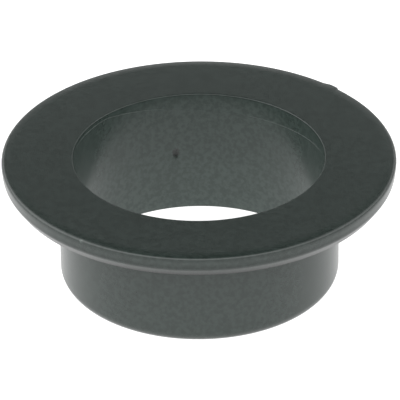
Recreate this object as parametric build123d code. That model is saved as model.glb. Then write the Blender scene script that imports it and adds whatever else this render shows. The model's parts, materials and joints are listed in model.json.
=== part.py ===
from build123d import *
import math
import os

# Moulded flanged bushing, a short plain sleeve with a wide thin flange round its upper end.
# It is moulded in one shot, so it is one solid. It stands on its sleeve end.
# Frame: origin on the axis in the plane of the sleeve end, +Z up towards the flange. Millimetres.

# Bore and sleeve
BORE_DIAMETER = 25.0
SLEEVE_WALL = 1.5
OVERALL_HEIGHT = 13.3

# Flange
FLANGE_OVERHANG = 5.7
FLANGE_THICKNESS = 2.4

# The flange's rim tapers inwards to a bevel along its lower edge
RIM_TAPER = 0.3
RIM_LOWER_BEVEL = 0.9

# Lead-in at the bore's upper mouth, where the two core pins of the mould meet
LEAD_IN_DEPTH = 1.6
LEAD_IN_STEP = 0.1

# Rounded edges: the rim's upper one, the corner where its bevel starts, and the bore's mouth
RIM_UPPER_RADIUS = 0.12
RIM_LOWER_RADIUS = 0.4
MOUTH_EDGE_RADIUS = 0.25

# Sleeve end: the bore's small chamfer, and the flat ring left between it and the round nose
BORE_END_CHAMFER = 0.06
END_LAND = 0.25

# Cut-off gate left on the rim: its centre's angle from +X, its flat top and its two flanks
GATE_ANGLE = 45.5
GATE_TOP_WIDTH = 0.7
GATE_HEIGHT = 0.28
GATE_THICKNESS = 1.0
GATE_CUT_FLANK = 0.5
GATE_TORN_FLANK = 1.0

# The section's radii and levels and the gate's sides follow from these
bore_radius = BORE_DIAMETER / 2
sleeve_radius = bore_radius + SLEEVE_WALL
flange_radius = sleeve_radius + FLANGE_OVERHANG
mouth_radius = bore_radius + LEAD_IN_STEP
flange_underside = OVERALL_HEIGHT - FLANGE_THICKNESS
rim_foot_radius = flange_radius - RIM_TAPER
rim_foot_level = flange_underside + RIM_LOWER_BEVEL
underside_radius = rim_foot_radius - RIM_LOWER_BEVEL
lead_in_level = OVERALL_HEIGHT - LEAD_IN_DEPTH
nose_radius = SLEEVE_WALL - BORE_END_CHAMFER - END_LAND
gate_cut_side = -GATE_TOP_WIDTH / 2 - GATE_CUT_FLANK
gate_torn_side = GATE_TOP_WIDTH / 2 + GATE_TORN_FLANK


def rim_at(offset):
    """Distance from the axis to the rim along the gate's direction, this far to the gate's side."""
    return math.sqrt(flange_radius**2 - offset**2)


def section():
    """Half section through the axis, radius along X and height along Z, with its edges rounded."""
    outline = Polyline(
        (bore_radius, lead_in_level),
        (bore_radius, BORE_END_CHAMFER),
        (bore_radius + BORE_END_CHAMFER, 0),
        (sleeve_radius, 0),
        (sleeve_radius, flange_underside),
        (underside_radius, flange_underside),
        (rim_foot_radius, rim_foot_level),
        (flange_radius, OVERALL_HEIGHT),
        (mouth_radius, OVERALL_HEIGHT),
        close=True,
    )
    rounded = {
        (sleeve_radius, 0): nose_radius,
        (rim_foot_radius, rim_foot_level): RIM_LOWER_RADIUS,
        (flange_radius, OVERALL_HEIGHT): RIM_UPPER_RADIUS,
        (mouth_radius, OVERALL_HEIGHT): MOUTH_EDGE_RADIUS,
    }
    profile = make_face(outline)
    for (radius, level), edge_radius in rounded.items():
        corner = profile.vertices().sort_by_distance(Vector(radius, level))[0]
        profile = fillet(corner, edge_radius)
    return Plane.XZ * profile


def gate():
    """What the trimmed edge gate leaves: a low wedge on the rim, flush with the flange's top face."""
    root = rim_at(gate_torn_side) - RIM_TAPER - RIM_UPPER_RADIUS - GATE_HEIGHT
    tip = flange_radius + GATE_HEIGHT
    outline = Polyline(
        (root, gate_cut_side),
        (rim_at(gate_cut_side), gate_cut_side),
        (tip, -GATE_TOP_WIDTH / 2),
        (tip, GATE_TOP_WIDTH / 2),
        (rim_at(gate_torn_side), gate_torn_side),
        (root, gate_torn_side),
        close=True,
    )
    wedge = extrude(make_face(outline), -GATE_THICKNESS)
    return Pos(0, 0, OVERALL_HEIGHT) * Rot(0, 0, GATE_ANGLE) * wedge


def bushing():
    body = revolve(section(), Axis.Z)
    return body + gate()


os.makedirs("parts", exist_ok=True)
export_step(bushing(), "parts/bushing.step")
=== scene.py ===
import json
import math

import bpy
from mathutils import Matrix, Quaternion, Vector


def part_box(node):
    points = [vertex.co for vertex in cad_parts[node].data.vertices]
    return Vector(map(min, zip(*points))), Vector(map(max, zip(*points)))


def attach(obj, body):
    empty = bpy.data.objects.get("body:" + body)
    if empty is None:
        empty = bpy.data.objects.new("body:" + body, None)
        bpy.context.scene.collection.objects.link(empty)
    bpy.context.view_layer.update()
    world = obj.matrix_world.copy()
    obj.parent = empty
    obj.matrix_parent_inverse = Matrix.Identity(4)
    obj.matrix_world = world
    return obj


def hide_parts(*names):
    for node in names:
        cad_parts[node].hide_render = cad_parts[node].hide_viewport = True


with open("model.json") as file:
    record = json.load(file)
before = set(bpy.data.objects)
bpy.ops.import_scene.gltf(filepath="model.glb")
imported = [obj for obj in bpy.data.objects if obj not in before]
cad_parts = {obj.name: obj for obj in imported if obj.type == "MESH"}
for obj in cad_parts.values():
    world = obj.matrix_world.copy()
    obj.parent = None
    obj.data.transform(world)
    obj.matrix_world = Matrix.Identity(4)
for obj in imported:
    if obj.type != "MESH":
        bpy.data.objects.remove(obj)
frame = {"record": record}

bl_info = {
    "name": "Moulded flanged bushing",
    "version": (1, 1, 0),
    "blender": (4, 5, 0),
    "location": "3D View > Sidebar > Bushing",
    "description": "Moulds a dark grey flanged bushing and lays out a plain white stage for it",
    "category": "Add Mesh",
}

MM = 0.001
NODE = "bushing"
BODY = "root"

# The main sizes are the solid's own, read from its mounts and its box
MOUNTS = {mount["name"]: mount for mount in frame["record"]["mounts"]}
BORE = MOUNTS["bore"]
SLEEVE = MOUNTS["sleeve_outside"]
BORE_RADIUS = BORE["dims"]["r_mm"] * MM
BORE_MIDDLE = BORE["pos_m"][2]
BORE_HALF = BORE["dims"]["length_mm"] * MM / 2
SLEEVE_RADIUS = SLEEVE["dims"]["r_mm"] * MM
SLEEVE_FOOT = SLEEVE["pos_m"][2] - SLEEVE["dims"]["length_mm"] * MM / 2
UNDERSIDE = MOUNTS["flange_underside"]["pos_m"][2]
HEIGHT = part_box(NODE)[1].z
# The box ends at the rim's rounded upper edge, and the sharp corner that it rounds lies further out
RIM_EDGE = 0.35 * MM
RIM_LEAN = math.atan(0.1)
RIM_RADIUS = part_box(NODE)[1].x + RIM_EDGE * (math.tan(RIM_LEAN) + 1 / math.cos(RIM_LEAN) - 1)
# The mesh's fine rows reach this many of the pit's half heights up and down from its middle
FINE_MARGIN = 1.2
# The painted tone of a small rounded edge, which stands in for its light and shade, ends this many
# of its radii from the sharp corner
PAINTED_TONE_END = 2.0
# Edges that bend more than this are drawn sharp
SHARP_BEND = math.radians(30)
# Width of the camera's sensor in millimetres
SENSOR = 36.0
# A side's light falls off with this power of a cosine, so that the four sides add up to one
SIDE_POWER = 2.0
# Finer layers in the noise of the skin, and how strong they are in the mottle
NOISE_DETAIL = 2.0
MOTTLE_ROUGHNESS = 0.6


def length(name, description, metres):
    """A size in metres, shown in the panel in the scene's unit."""
    return bpy.props.FloatProperty(
        name=name, description=description, default=metres, unit="LENGTH", precision=5
    )


def angle(name, description, degrees):
    return bpy.props.FloatProperty(
        name=name, description=description, default=math.radians(degrees), subtype="ANGLE"
    )


def number(name, description, default):
    return bpy.props.FloatProperty(name=name, description=description, default=default)


def heights(name, description, *degrees):
    """Four heights above the horizon: where a light starts, is full, starts to fade and has gone."""
    return bpy.props.FloatVectorProperty(
        name=name, description=description, size=4, default=[math.radians(step) for step in degrees]
    )


def strengths(name, description, *sides):
    """How strong a light is in front, on the left, on the right and behind."""
    return bpy.props.FloatVectorProperty(name=name, description=description, size=4, default=sides)


def colour(name, description, sheet_hex):
    return bpy.props.StringProperty(name=name, description=description, default=sheet_hex)


class BushingSizes(bpy.types.PropertyGroup):
    """What the moulding tool gives the part: its section, turned round the axis, and its marks."""

    bore_radius: length("Bore Radius", "Radius of the straight bore", BORE_RADIUS)
    sleeve_radius: length("Sleeve Radius", "Outside radius of the sleeve", SLEEVE_RADIUS)
    rim_radius: length("Rim Radius", "Outside radius of the flange at its sharp corner", RIM_RADIUS)
    height: length("Height", "From the sleeve's end to the flange's top face", HEIGHT)
    underside: length("Underside", "Level of the flange's underside", UNDERSIDE)
    rim_lean: angle("Rim Lean", "How far the rim leans in towards its foot", math.degrees(RIM_LEAN))
    rim_bevel: length("Rim Bevel", "Height of the bevel along the rim's lower edge", 1.0 * MM)
    bevel_width: length("Bevel Width", "Width of that bevel", 0.7 * MM)
    rim_edge: length("Rim Edge", "Radius on the rim's upper edge", RIM_EDGE)
    rim_corner: length("Rim Corner", "Radius where the rim meets its bevel", 0.9 * MM)
    bevel_edge: length("Bevel Edge", "Radius where the bevel meets the underside", 0.2 * MM)
    root: length("Root", "Radius in the corner under the flange", 0.2 * MM)
    nose: length("Nose", "Radius on the sleeve's outer end", SLEEVE_FOOT)
    end_chamfer: length("End Chamfer", "Chamfer on the bore's lower end", BORE_MIDDLE - BORE_HALF)
    end_edge: length("End Edge", "Radius on both edges of that chamfer", 0.02 * MM)
    mouth_edge: length("Mouth Edge", "Radius on the bore's upper mouth", 0.1 * MM)
    lead_in_depth: length("Lead-in Depth", "Depth of the lead-in", HEIGHT - BORE_MIDDLE - BORE_HALF)
    lead_in_step: length("Lead-in Step", "How much wider the bore is at its mouth", 0.05 * MM)
    lip_share: number("Lip Share", "How much of that it has just under its mouth's edge", 0.8)
    ledge: length("Ledge", "Tiny ledge where the two core pins meet", 0.02 * MM)
    ledge_angle: angle("Ledge Angle", "Where the ledge is deepest, from +X", 63.5)
    ledge_deepest: length("Ledge Deepest", "Its greatest depth below the mouth", 2.0 * MM)
    ledge_side: number("Ledge Side", "Share of the bore's radius past which it falls", 0.27)
    ledge_least: length("Ledge Least", "Its least depth below the mouth", 0.45 * MM)
    gate_angle: angle("Gate Angle", "Middle of the cut-off gate on the rim, from +X", 45.5)
    gate_width: length("Gate Width", "Flat length of the cut-off gate along the rim", 0.7 * MM)
    gate_height: length("Gate Height", "How far the cut-off gate stands out", 0.23 * MM)
    gate_thickness: length("Gate Thickness", "Depth of the gate below the top face", 1.0 * MM)
    gate_cut: length("Gate Cut", "Length of the flank that the cutter left", 0.5 * MM)
    gate_torn: length("Gate Torn", "Length of the flank that tore off", 1.0 * MM)
    gate_fade: length("Gate Fade", "Over which the gate runs out into the flange", 0.4 * MM)
    pit_angle: angle("Pit Angle", "Where the pit in the bore wall is, from +X", 100.8)
    pit_level: length("Pit Level", "Level of the pit in the bore wall", 6.5 * MM)
    pit_width: length("Pit Width", "Half the width of the pit", 0.55 * MM)
    pit_tall: length("Pit Tall", "Half the height of the pit", 0.9 * MM)
    pit_depth: length("Pit Depth", "Depth of the pit", 0.12 * MM)
    nick_angle: angle("Nick Angle", "Where the nick in the rim's upper edge is, from +X", -125.7)
    nick_level: length("Nick Level", "Level of the middle of the nick", HEIGHT - 0.15 * MM)
    nick_width: length("Nick Width", "Half the width of the nick", 0.35 * MM)
    nick_depth: length("Nick Depth", "Depth of the nick", 0.04 * MM)
    fine_rows: length("Fine Rows", "Spacing of the mesh's rows beside the pit", 0.1 * MM)
    plain_rows: length("Plain Rows", "Spacing of the mesh's rows elsewhere", 0.9 * MM)
    segments: bpy.props.IntProperty(name="Segments", description="Steps round the axis", default=720)


class BushingFinish(bpy.types.PropertyGroup):
    """The plastic's colours and the skin that the tool gave it."""

    body: colour("Body", "Colour of the plastic where its mottle is darkest", "#1e2623")
    mottle: colour("Mottle", "Colour where its mottle is palest", "#272f2c")
    bruise: colour("Bruise", "Colour of bruised plastic", "#454c49")
    soil: colour("Soil", "Colour of the dirt in the pit", "#171a18")
    mottle_size: length("Mottle Size", "Width of a patch of the mottle", 0.5 * MM)
    mottle_dark: number("Mottle Dark", "Noise up to which the mottle is darkest", 0.35)
    mottle_pale: number("Mottle Pale", "Noise from which the mottle is palest", 0.65)
    stain_core: number("Stain Core", "Ragged distance from a mark within which it is stained", 0.8)
    stain_edge: number("Stain Edge", "Ragged distance at which the stain has gone", 1.4)
    grain_size: length("Grain Size", "Width of a grain of the tool's skin", 0.25 * MM)
    grain_depth: length("Grain Depth", "Depth of that grain", 0.004 * MM)
    grain_share: number("Grain Share", "How much of that depth the light shows", 0.3)
    roughness: number("Roughness", "Roughness of the moulded skin", 0.26)
    gloss: number("Gloss", "Level of the skin's mirror share", 0.5)
    refraction: number("Refraction", "Index of refraction of the plastic", 1.5)


class StageSettings(bpy.types.PropertyGroup):
    """White floor, soft lights round the object, and the camera."""

    softbox_heights: heights("Softbox Heights", "Heights of the large soft light", 8, 27, 36, 72)
    softbox: strengths("Softbox", "Strength of the large soft light", 3.7, 3.8, 2.8, 0.0)
    low_heights: heights("Low Heights", "Heights of the glow above the floor", -5, 0, 16, 30)
    low: strengths("Low Glow", "Strength of that glow", 0.85, 1.8, 0.8, 0.0)
    strip_heights: heights("Strip Heights", "Heights of the pale strip behind", 12, 18, 21, 26)
    strip: strengths("Strip", "Strength of the strip behind", 0.0, 0.0, 0.0, 2.1)
    floor_glow: number("Floor Glow", "The part of the floor's white that no shadow takes", 1.0)
    floor_paper: number("Floor Paper", "The part that it gives back of the light it gets", 0.3)
    floor_size: length("Floor Size", "Width of the floor", 1.6)
    eye_height: angle("Eye Height", "How far above the horizon the camera is", 30.1)
    eye_distance: length("Eye Distance", "From the camera to the middle of the top face", 467.6 * MM)
    eye_roll: angle("Eye Roll", "Roll of the camera", -0.44)
    eye_lens: number("Eye Lens", "Focal length in millimetres, on a 36 mm sensor", 422.8)
    aim_right: length("Aim Right", "How far right of the axis the camera aims", 0.08 * MM)
    aim_down: length("Aim Down", "How far under the top face the camera aims", 5.13 * MM)


def linear(sheet_hex):
    """An sRGB hex colour as linear RGBA."""
    parts = [int(sheet_hex[i : i + 2], 16) / 255 for i in (1, 3, 5)]
    return [c / 12.92 if c <= 0.04045 else ((c + 0.055) / 1.055) ** 2.4 for c in parts] + [1.0]


def add(tree, kind, inputs=None, items=0, **settings):
    """Adds a node with its settings, its inputs set or linked, and a switch's number of items."""
    node = tree.nodes.new(kind)
    for name, value in settings.items():
        setattr(node, name, value)
    while items and len(node.index_switch_items) < items:
        node.index_switch_items.new()
    for key, value in (inputs or {}).items():
        if isinstance(value, bpy.types.Node):
            value = next(socket for socket in value.outputs if socket.enabled)
        if isinstance(value, bpy.types.NodeSocket):
            tree.links.new(value, node.inputs[key])
        else:
            node.inputs[key].default_value = value
    return node


def tree_values(sizes):
    """The sizes, with the radii, levels and centres that follow from them."""
    size = {key: getattr(sizes, key) for key in sizes.__annotations__}
    rim_foot_level = sizes.underside + sizes.rim_bevel
    rim_foot_radius = sizes.rim_radius - (sizes.height - rim_foot_level) * math.tan(sizes.rim_lean)
    ledge_level = sizes.height - sizes.lead_in_depth
    half_gate = sizes.gate_width / 2
    size.update(
        rim_foot_level=rim_foot_level,
        rim_foot_radius=rim_foot_radius,
        underside_radius=rim_foot_radius - sizes.bevel_width,
        wall_radius=sizes.rim_radius - PAINTED_TONE_END * sizes.rim_edge * math.tan(sizes.rim_lean),
        wall_level=sizes.height - PAINTED_TONE_END * sizes.rim_edge,
        end_radius=sizes.bore_radius + sizes.end_chamfer,
        mouth_radius=sizes.bore_radius + sizes.lead_in_step,
        lip_radius=sizes.bore_radius + sizes.lip_share * sizes.lead_in_step,
        lip_level=sizes.height - PAINTED_TONE_END * sizes.mouth_edge,
        face_radius=sizes.bore_radius + sizes.lead_in_step + PAINTED_TONE_END * sizes.mouth_edge,
        ledge_radius=sizes.bore_radius + sizes.ledge,
        ledge_level=ledge_level,
        ledge_foot=ledge_level - sizes.ledge,
        ledge_bend=sizes.bore_radius * sizes.ledge_side,
        ledge_up=sizes.lead_in_depth - sizes.ledge_least,
        ledge_down=sizes.lead_in_depth - sizes.ledge_deepest,
        pit_foot=sizes.pit_level - FINE_MARGIN * sizes.pit_tall,
        pit_head=sizes.pit_level + FINE_MARGIN * sizes.pit_tall,
        pit_centre=Vector((sizes.bore_radius, 0.0, sizes.pit_level)),
        pit_reach=Vector((sizes.pit_width, sizes.pit_width, sizes.pit_tall)),
        pit_push=Vector((sizes.pit_depth, 0.0, 0.0)),
        nick_centre=Vector((sizes.rim_radius, 0.0, sizes.nick_level)),
        nick_reach=Vector([sizes.nick_width] * 3),
        nick_push=Vector((-sizes.nick_depth, 0.0, 0.0)),
        gate_left=half_gate,
        gate_right=-half_gate,
        torn_end=half_gate + sizes.gate_torn,
        cut_end=-half_gate - sizes.gate_cut,
        gate_foot=sizes.height - sizes.gate_thickness,
        gate_end=sizes.height - sizes.gate_thickness - sizes.gate_fade,
        gate_front=sizes.rim_radius - sizes.gate_fade,
        gate_back=sizes.rim_radius - 2 * sizes.gate_fade,
    )
    return size


def section(tree, size):
    """The half section as a closed curve, its corners rounded and its long runs cut into rows."""
    # Each corner's radius, level, rounding, steps of that rounding, spacing of the rows on the run
    # that follows, whether it swings up and down with the ledge, and the painted tone of the skin
    # there.
    # Its painted light makes the bore paler than the flat faces, most so at its foot, and its
    # painted shade darkens the rim's edges and the mouth's edge, and most of all the bevel
    corners = (
        ("bore_radius", "pit_foot", 0.0, 1, "fine_rows", 0.0, 1.8),
        ("bore_radius", "pit_head", 0.0, 1, "plain_rows", 0.0, 1.45),
        ("bore_radius", "ledge_foot", 0.0, 1, "plain_rows", 1.0, 1.3),
        ("ledge_radius", "ledge_level", 0.0, 1, "plain_rows", 1.0, 1.35),
        ("lip_radius", "lip_level", 0.0, 1, "plain_rows", 0.0, 1.2),
        ("mouth_radius", "height", "mouth_edge", 8, "plain_rows", 0.0, 0.85),
        ("face_radius", "height", 0.0, 1, "plain_rows", 0.0, 0.8),
        ("rim_radius", "height", "rim_edge", 6, "plain_rows", 0.0, 0.85),
        ("wall_radius", "wall_level", 0.0, 1, "plain_rows", 0.0, 1.0),
        ("rim_foot_radius", "rim_foot_level", "rim_corner", 8, "plain_rows", 0.0, 0.8),
        ("underside_radius", "underside", "bevel_edge", 4, "plain_rows", 0.0, 0.2),
        ("sleeve_radius", "underside", "root", 5, "plain_rows", 0.0, 1.0),
        ("sleeve_radius", 0.0, "nose", 14, "plain_rows", 0.0, 1.0),
        ("end_radius", 0.0, "end_edge", 2, "plain_rows", 0.0, 2.0),
        ("bore_radius", "end_chamfer", "end_edge", 2, "plain_rows", 0.0, 2.4),
    )
    columns = list(zip(*([size.get(item, item) for item in corner] for corner in corners)))
    places = []
    for radius, level in zip(*columns[:2]):
        across = add(
            tree, "ShaderNodeMath", {0: radius, 1: size["bore_radius"]}, operation="SUBTRACT"
        )
        down = add(tree, "ShaderNodeMath", {0: level, 1: -1.0}, operation="MULTIPLY")
        places.append(add(tree, "ShaderNodeCombineXYZ", {"X": across, "Y": down}))
    index = add(tree, "GeometryNodeInputIndex")
    kinds = ("VECTOR", "FLOAT", "INT", "FLOAT", "FLOAT", "FLOAT")
    # The painted tone stands in for light and shade: it pales the bore and darkens the rim and bevel
    place, rounding, steps, spacing, swing, tone = (
        add(
            tree,
            "GeometryNodeIndexSwitch",
            {"Index": index, **dict(enumerate(column, start=1))},
            items=len(corners),
            data_type=kind,
        )
        for kind, column in zip(kinds, [places] + columns[2:])
    )
    line = add(tree, "GeometryNodeMeshLine", {"Count": len(corners)})
    line = add(tree, "GeometryNodeSetPosition", {"Geometry": line, "Position": place})
    curve = add(tree, "GeometryNodeMeshToCurve", {"Mesh": line})
    curve = add(tree, "GeometryNodeSetSplineCyclic", {"Geometry": curve, "Cyclic": True})
    for name, value in (("spacing", spacing), ("swing", swing), ("tone", tone)):
        curve = add(
            tree,
            "GeometryNodeStoreNamedAttribute",
            {"Geometry": curve, "Name": name, "Value": value},
            data_type="FLOAT",
            domain="POINT",
        )
    curve = add(
        tree,
        "GeometryNodeFilletCurve",
        {"Curve": curve, "Count": steps, "Radius": rounding},
        mode="POLY",
    )
    # A run is cut where it is longer than its spacing, so the short steps of a rounding stay whole
    here = add(tree, "GeometryNodeInputPosition")
    count = add(tree, "GeometryNodeAttributeDomainSize", {"Geometry": curve}, component="CURVE")
    after = add(tree, "ShaderNodeMath", {0: index, 1: 1.0}, operation="ADD")
    after = add(
        tree, "ShaderNodeMath", {0: after, 1: count.outputs["Point Count"]}, operation="MODULO"
    )
    there = add(
        tree, "GeometryNodeFieldAtIndex", {"Index": after}, data_type="FLOAT_VECTOR", domain="POINT"
    )
    tree.links.new(here.outputs["Position"], there.inputs["Value"])
    run = add(tree, "ShaderNodeVectorMath", {0: here, 1: there}, operation="DISTANCE")
    kept = add(tree, "GeometryNodeInputNamedAttribute", {"Name": "spacing"}, data_type="FLOAT")
    cuts = add(tree, "ShaderNodeMath", {0: run, 1: kept}, operation="DIVIDE")
    cuts = add(tree, "ShaderNodeMath", {0: cuts}, operation="FLOOR")
    return add(tree, "GeometryNodeSubdivideCurve", {"Curve": curve, "Cuts": cuts})


def from_mark(tree, place, size, mark):
    """How far a point is from the middle of the pit or the nick, where 1 is the mark's edge."""
    apart = {"Vector": place, "Angle": size[mark + "_angle"]}
    apart = add(tree, "ShaderNodeVectorRotate", apart, rotation_type="Z_AXIS", invert=True)
    apart = {0: apart, 1: size[mark + "_centre"]}
    apart = add(tree, "ShaderNodeVectorMath", apart, operation="SUBTRACT")
    apart = {0: apart, 1: size[mark + "_reach"]}
    apart = add(tree, "ShaderNodeVectorMath", apart, operation="DIVIDE")
    return add(tree, "ShaderNodeVectorMath", {0: apart}, operation="LENGTH")


def marks(tree, size):
    """How far each point moves for the swing of the ledge, the gate, the pit and the nick."""
    place = add(tree, "GeometryNodeInputPosition")
    axis = {"rotation_type": "Z_AXIS"}

    seen = {"Vector": place, "Angle": size["ledge_angle"]}
    seen = add(tree, "ShaderNodeVectorRotate", seen, invert=True, **axis)
    seen = add(tree, "ShaderNodeSeparateXYZ", {"Vector": seen})
    lift = add(
        tree,
        "ShaderNodeMapRange",
        {
            "Value": seen.outputs["X"],
            "From Min": size["ledge_bend"],
            "From Max": size["bore_radius"],
            "To Min": size["ledge_up"],
            "To Max": size["ledge_down"],
        },
    )
    swing = add(tree, "GeometryNodeInputNamedAttribute", {"Name": "swing"}, data_type="FLOAT")
    lift = add(tree, "ShaderNodeMath", {0: lift, 1: swing}, operation="MULTIPLY")
    offset = add(tree, "ShaderNodeCombineXYZ", {"Z": lift})

    seen = {"Vector": place, "Angle": size["gate_angle"]}
    seen = add(tree, "ShaderNodeVectorRotate", seen, invert=True, **axis)
    seen = add(tree, "ShaderNodeSeparateXYZ", {"Vector": seen})
    gate = size["gate_height"]
    for side, start, end in (
        ("Y", "cut_end", "gate_right"),
        ("Y", "torn_end", "gate_left"),
        ("Z", "gate_end", "gate_foot"),
        ("X", "gate_back", "gate_front"),
    ):
        share = add(
            tree,
            "ShaderNodeMapRange",
            {"Value": seen.outputs[side], "From Min": size[start], "From Max": size[end]},
            interpolation_type="SMOOTHSTEP",
        )
        gate = add(tree, "ShaderNodeMath", {0: gate, 1: share}, operation="MULTIPLY")
    push = add(tree, "ShaderNodeCombineXYZ", {"X": gate})
    push = add(tree, "ShaderNodeVectorRotate", {"Vector": push, "Angle": size["gate_angle"]}, **axis)
    offset = add(tree, "ShaderNodeVectorMath", {0: offset, 1: push}, operation="ADD")

    for mark in ("pit", "nick"):
        share = {"Value": from_mark(tree, place, size, mark), "From Min": 1.0, "From Max": 0.0}
        share = add(tree, "ShaderNodeMapRange", share, interpolation_type="SMOOTHSTEP")
        push = {0: size[mark + "_push"], "Scale": share}
        push = add(tree, "ShaderNodeVectorMath", push, operation="SCALE")
        push = {"Vector": push, "Angle": size[mark + "_angle"]}
        push = add(tree, "ShaderNodeVectorRotate", push, **axis)
        offset = add(tree, "ShaderNodeVectorMath", {0: offset, 1: push}, operation="ADD")
    return offset


def moulding_tree(values):
    """Turns the section round the axis, marks it and gives it its material."""
    tree = bpy.data.node_groups.new("turned_moulding", "GeometryNodeTree")
    kinds = {
        int: "NodeSocketInt",
        float: "NodeSocketFloat",
        Vector: "NodeSocketVector",
        bpy.types.Material: "NodeSocketMaterial",
    }
    sockets = {}
    for key, value in values.items():
        title = key.replace("_", " ").title()
        sockets[key] = tree.interface.new_socket(
            title, in_out="INPUT", socket_type=kinds[type(value)]
        )
    tree.interface.new_socket("Geometry", in_out="OUTPUT", socket_type="NodeSocketGeometry")
    size = dict(zip(values, add(tree, "NodeGroupInput").outputs))
    circle = {"Resolution": size["segments"], "Radius": size["bore_radius"]}
    circle = add(tree, "GeometryNodeCurvePrimitiveCircle", circle)
    piece = {"Curve": circle, "Profile Curve": section(tree, size)}
    piece = add(tree, "GeometryNodeCurveToMesh", piece)
    moved = {"Geometry": piece, "Offset": marks(tree, size)}
    piece = add(tree, "GeometryNodeSetPosition", moved)
    for name in ("spacing", "swing"):
        piece = add(tree, "GeometryNodeRemoveAttribute", {"Geometry": piece, "Name": name})
    bend = add(tree, "GeometryNodeInputMeshEdgeAngle").outputs["Unsigned Angle"]
    sharp = add(tree, "ShaderNodeMath", {0: bend, 1: SHARP_BEND}, operation="GREATER_THAN")
    for domain, chosen, smooth in (("FACE", True, True), ("EDGE", sharp, False)):
        piece = add(
            tree,
            "GeometryNodeSetShadeSmooth",
            {0: piece, "Selection": chosen, "Shade Smooth": smooth},
            domain=domain,
        )
    piece = add(tree, "GeometryNodeRealizeInstances", {"Geometry": piece})
    piece = {"Geometry": piece, "Material": size["material"]}
    add(tree, "NodeGroupOutput", {0: add(tree, "GeometryNodeSetMaterial", piece)})
    return tree, {key: socket.identifier for key, socket in sockets.items()}


def moulded_nylon(finish, values):
    """Dark grey polyamide, moulded against a finely ground tool.

    The skin is satin: dark from above, and a soft mirror near grazing angles.
    """
    material = bpy.data.materials.new("moulded_nylon")
    material.use_nodes = True
    tree = material.node_tree
    skin = tree.nodes["Principled BSDF"]
    place = add(tree, "ShaderNodeTexCoord").outputs["Object"]

    # Flow mottle, in patches of about half a millimetre
    mottle = {"Vector": place, "Scale": 1 / finish.mottle_size, "Detail": NOISE_DETAIL}
    mottle["Roughness"] = MOTTLE_ROUGHNESS
    mottle = add(tree, "ShaderNodeTexNoise", mottle)
    share = {"Value": mottle, "From Min": finish.mottle_dark, "From Max": finish.mottle_pale}
    share = add(tree, "ShaderNodeMapRange", share, interpolation_type="SMOOTHSTEP")
    body = {0: share, 6: linear(finish.body), 7: linear(finish.mottle)}
    body = add(tree, "ShaderNodeMix", body, data_type="RGBA")
    # The painted tone stands in for light and shade: painted light in the bore, painted shade on the
    # rim and bevel
    tone = add(tree, "ShaderNodeAttribute", attribute_name="tone").outputs["Fac"]
    body = add(tree, "ShaderNodeVectorMath", {0: body, "Scale": tone}, operation="SCALE")

    # Dirt in the pit and a bruise at the nick, with ragged edges
    ragged = {"Vector": place, "Scale": 1 / finish.grain_size, "Detail": NOISE_DETAIL}
    ragged = add(tree, "ShaderNodeTexNoise", ragged)
    for mark, hue in (("pit", finish.soil), ("nick", finish.bruise)):
        apart = {0: from_mark(tree, place, values, mark), 1: ragged}
        apart = add(tree, "ShaderNodeMath", apart, operation="ADD")
        share = {"Value": apart, "From Min": finish.stain_edge, "From Max": finish.stain_core}
        share = add(tree, "ShaderNodeMapRange", share, interpolation_type="SMOOTHSTEP")
        body = add(tree, "ShaderNodeMix", {0: share, 6: body, 7: linear(hue)}, data_type="RGBA")
    tree.links.new(body.outputs[2], skin.inputs["Base Color"])

    bump = {"Height": ragged, "Strength": finish.grain_share, "Distance": finish.grain_depth}
    bump = add(tree, "ShaderNodeBump", bump)
    tree.links.new(bump.outputs["Normal"], skin.inputs["Normal"])
    # Where the painted shade darkens the skin, its mirror share is lower too
    gloss = add(tree, "ShaderNodeMath", {0: tone, 1: 1.0}, operation="MINIMUM")
    gloss = {0: gloss, 1: finish.gloss}
    gloss = add(tree, "ShaderNodeMath", gloss, operation="MULTIPLY")
    tree.links.new(gloss.outputs["Value"], skin.inputs["Specular IOR Level"])
    skin.inputs["Roughness"].default_value = finish.roughness
    skin.inputs["IOR"].default_value = finish.refraction
    return material


class BUSHING_OT_moulding(bpy.types.Operator):
    """Mould the bushing: its section turned round the axis, with the marks it came out with"""

    bl_idname = "bushing.moulding"
    bl_label = "Moulded bushing"
    bl_options = {"REGISTER", "UNDO"}

    def execute(self, context):
        piece = bpy.data.objects.new("moulded_bushing", bpy.data.meshes.new("moulded_bushing"))
        context.scene.collection.objects.link(piece)
        values = tree_values(context.scene.bushing_sizes)
        values["material"] = moulded_nylon(context.scene.bushing_finish, values)
        tree, identifiers = moulding_tree(values)
        turned = piece.modifiers.new("turned_moulding", "NODES")
        turned.node_group = tree
        for key, value in values.items():
            turned[identifiers[key]] = list(value) if isinstance(value, Vector) else value
        # The large flat faces keep their own normals beside the small roundings
        level = piece.modifiers.new("level_faces", "WEIGHTED_NORMAL")
        level.mode = "FACE_AREA"
        level.keep_sharp = True
        depsgraph = context.evaluated_depsgraph_get()
        mesh = bpy.data.meshes.new_from_object(piece.evaluated_get(depsgraph), depsgraph=depsgraph)
        piece.modifiers.clear()
        piece.data = mesh
        if not mesh.polygons:
            raise RuntimeError("the bushing came out empty")
        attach(piece, BODY)
        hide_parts(NODE)
        return {"FINISHED"}


def white_paper(stage):
    """Matt white paper under even light, so bright that only a faint shadow shows on it."""
    material = bpy.data.materials.new("white_paper")
    material.use_nodes = True
    tree = material.node_tree
    tree.nodes.clear()
    paper = [stage.floor_paper] * 3 + [1.0]
    paper = add(tree, "ShaderNodeBsdfDiffuse", {"Color": paper})
    light = add(tree, "ShaderNodeEmission", {"Strength": stage.floor_glow})
    both = add(tree, "ShaderNodeAddShader", {0: paper, 1: light})
    add(tree, "ShaderNodeOutputMaterial", {"Surface": both})
    return material


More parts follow.
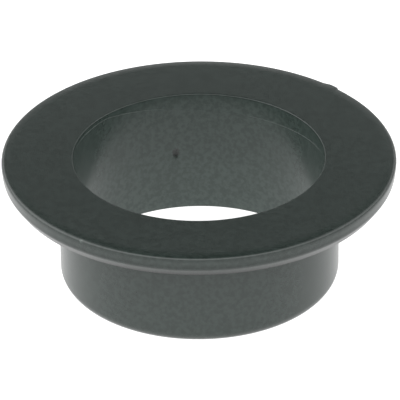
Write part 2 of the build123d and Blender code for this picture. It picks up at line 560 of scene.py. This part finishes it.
def studio_world(stage):
    """Soft lights at their heights above the horizon, and plain white for the camera."""
    world = bpy.data.worlds.new("studio")
    world.use_nodes = True
    tree = world.node_tree
    tree.nodes.clear()
    direction = add(tree, "ShaderNodeTexCoord").outputs["Generated"]
    parts = add(tree, "ShaderNodeSeparateXYZ", {"Vector": direction})
    height = add(tree, "ShaderNodeMath", {0: parts.outputs["Z"]}, operation="ARCSINE")
    flat = {0: direction, 1: (1.0, 1.0, 0.0)}
    flat = add(tree, "ShaderNodeVectorMath", flat, operation="MULTIPLY")
    flat = add(tree, "ShaderNodeVectorMath", {0: flat}, operation="NORMALIZE")
    shares = []
    for side in ((0.0, -1.0, 0.0), (-1.0, 0.0, 0.0), (1.0, 0.0, 0.0), (0.0, 1.0, 0.0)):
        facing = add(tree, "ShaderNodeVectorMath", {0: flat, 1: side}, operation="DOT_PRODUCT")
        facing = add(tree, "ShaderNodeMath", {0: facing, 1: 0.0}, operation="MAXIMUM")
        shares.append(add(tree, "ShaderNodeMath", {0: facing, 1: SIDE_POWER}, operation="POWER"))
    level = 0.0
    for steps, sides in (
        (stage.softbox_heights, stage.softbox),
        (stage.low_heights, stage.low),
        (stage.strip_heights, stage.strip),
    ):
        band = 0.0
        for share, strength in zip(shares, sides):
            band = {0: share, 1: strength, 2: band}
            band = add(tree, "ShaderNodeMath", band, operation="MULTIPLY_ADD")
        for start, end in ((steps[0], steps[1]), (steps[3], steps[2])):
            fade = {"Value": height, "From Min": start, "From Max": end}
            fade = add(tree, "ShaderNodeMapRange", fade, interpolation_type="SMOOTHSTEP")
            band = add(tree, "ShaderNodeMath", {0: band, 1: fade}, operation="MULTIPLY")
        level = add(tree, "ShaderNodeMath", {0: level, 1: band}, operation="ADD")
    lit = add(tree, "ShaderNodeBackground", {"Color": level})
    white = add(tree, "ShaderNodeBackground", {"Color": (1.0, 1.0, 1.0, 1.0)})
    camera_ray = add(tree, "ShaderNodeLightPath").outputs["Is Camera Ray"]
    both = add(tree, "ShaderNodeMixShader", {0: camera_ray, 1: lit, 2: white})
    add(tree, "ShaderNodeOutputWorld", {"Surface": both})
    return world


class BUSHING_OT_stage(bpy.types.Operator):
    """Lay the floor, set the lights round the object and place the camera"""

    bl_idname = "bushing.stage"
    bl_label = "White stage"
    bl_options = {"REGISTER", "UNDO"}

    def execute(self, context):
        stage = context.scene.bushing_stage
        bpy.ops.mesh.primitive_plane_add(size=stage.floor_size)
        floor = context.object
        floor.name = "floor"
        floor.data.materials.append(white_paper(stage))
        context.scene.world = studio_world(stage)

        camera = bpy.data.objects.new("camera", bpy.data.cameras.new("camera"))
        context.scene.collection.objects.link(camera)
        camera.data.lens = stage.eye_lens
        camera.data.sensor_width = SENSOR
        top = Vector((0.0, 0.0, context.scene.bushing_sizes.height))
        back = Vector((0.0, -math.cos(stage.eye_height), math.sin(stage.eye_height)))
        camera.location = top + back * stage.eye_distance
        aim = top + Vector((stage.aim_right, 0.0, -stage.aim_down))
        turn = (aim - camera.location).to_track_quat("-Z", "Y")
        camera.rotation_mode = "QUATERNION"
        camera.rotation_quaternion = turn @ Quaternion((0.0, 0.0, 1.0), stage.eye_roll)
        context.scene.camera = camera
        context.scene.view_settings.view_transform = "Standard"
        return {"FINISHED"}


class BUSHING_PT_sidebar(bpy.types.Panel):
    """Sizes, finish and stage of the bushing, and the buttons that make them"""

    bl_label = "Flanged bushing"
    bl_idname = "BUSHING_PT_sidebar"
    bl_space_type = "VIEW_3D"
    bl_region_type = "UI"
    bl_category = "Bushing"

    def draw(self, context):
        for settings, button in (
            (context.scene.bushing_sizes, "bushing.moulding"),
            (context.scene.bushing_finish, None),
            (context.scene.bushing_stage, "bushing.stage"),
        ):
            for key in settings.__annotations__:
                self.layout.prop(settings, key)
            if button:
                self.layout.operator(button)


SETTINGS = {
    "bushing_sizes": BushingSizes,
    "bushing_finish": BushingFinish,
    "bushing_stage": StageSettings,
}
CLASSES = (*SETTINGS.values(), BUSHING_OT_moulding, BUSHING_OT_stage, BUSHING_PT_sidebar)


def register():
    for cls in CLASSES:
        bpy.utils.register_class(cls)
    for name, group in SETTINGS.items():
        setattr(bpy.types.Scene, name, bpy.props.PointerProperty(type=group))


def unregister():
    for name in SETTINGS:
        delattr(bpy.types.Scene, name)
    for cls in reversed(CLASSES):
        bpy.utils.unregister_class(cls)


def main():
    register()
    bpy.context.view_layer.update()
    bpy.ops.bushing.moulding()
    bpy.ops.bushing.stage()


if __name__ == "__main__":
    main()
